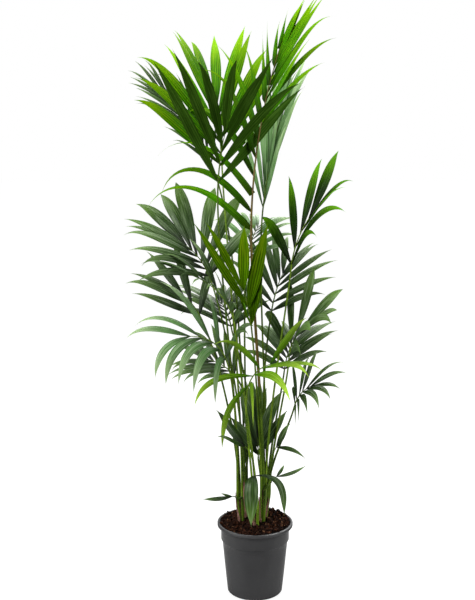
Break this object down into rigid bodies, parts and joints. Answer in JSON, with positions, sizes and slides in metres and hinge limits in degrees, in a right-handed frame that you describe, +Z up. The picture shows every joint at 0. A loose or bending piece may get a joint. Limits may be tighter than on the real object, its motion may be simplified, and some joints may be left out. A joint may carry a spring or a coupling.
{
  "type": "potted kentia palm",
  "caption": "Tall young kentia palm with arching feather fronds on long slender stalks, growing as a clump from bark mix in a plain round dark grey nursery pot.",
  "frame": {"origin": "middle of the flat underside of the pot", "axes": "+Z up along the pot's axis; the palm's usual front faces -Y, with +X to its right"},
  "size_m": [0.7063, 0.686, 1.8401],
  "materials": {
    "pot_plastic": "plain dark grey moulded plastic with a low sheen",
    "potting_mix": "moist dark brown bark and peat, coarse and matt",
    "sheath": "green leaf bases with brown fibrous remains of old sheaths",
    "stalk": "smooth mid green leaf stalk with a satin skin",
    "leaf_deep": "deep blue-green leaflets with a waxy satin sheen",
    "leaf_mid": "mid green leaflets with a satin sheen",
    "leaf_fresh": "bright fresh green leaflets with a satin sheen",
    "leaf_lime": "light yellow-green young leaflets",
    "leaf_silver": "pale grey-green leaflets, seen from their underside"
  },
  "bodies": {
    "root": {"pot": "pot_plastic", "potting_mix": "potting_mix", "stem_left": "sheath", "stem_left_rear": "sheath", "stem_front": "sheath", "stem_right": "sheath", "stem_right_rear": "sheath", "stalk_top_fan": "stalk", "stalk_top_front": "stalk", "stalk_left_feather": "stalk", "stalk_leader": "stalk", "stalk_right_rear": "stalk", "stalk_upper_left": "stalk", "stalk_mid_left": "stalk", "stalk_arched_left": "stalk", "stalk_low_left": "stalk", "stalk_centre": "stalk", "stalk_upper_right": "stalk", "stalk_rear_right": "stalk", "stalk_mid_right": "stalk", "stalk_low_right": "stalk", "stalk_young_front": "stalk", "stalk_rear_left": "stalk", "stalk_rear_centre": "stalk", "stalk_back_left": "stalk", "stalk_back_right": "stalk", "stalk_rear_low": "stalk", "stalk_seed_front": "stalk", "stalk_seed_left": "stalk", "stalk_seed_right": "stalk", "stalk_seed_mid_right": "stalk", "stalk_seed_mid_left": "stalk", "frond_top_fan": "leaf_fresh", "frond_top_front": "leaf_mid", "frond_left_feather": "leaf_deep", "frond_leader": "leaf_fresh", "frond_right_rear": "leaf_silver", "frond_upper_left": "leaf_deep", "frond_mid_left": "leaf_deep", "frond_arched_left": "leaf_deep", "frond_low_left": "leaf_silver", "frond_centre": "leaf_fresh", "frond_upper_right": "leaf_mid", "frond_rear_right": "leaf_deep", "frond_mid_right": "leaf_deep", "frond_low_right": "leaf_deep", "frond_young_front": "leaf_lime", "frond_rear_left": "leaf_deep", "frond_rear_centre": "leaf_silver", "frond_back_left": "leaf_deep", "frond_back_right": "leaf_deep", "frond_rear_low": "leaf_deep", "frond_seed_front": "leaf_deep", "frond_seed_left": "leaf_deep", "frond_seed_right": "leaf_deep", "frond_seed_mid_right": "leaf_deep", "frond_seed_mid_left": "leaf_deep"}
  },
  "joints": []
}
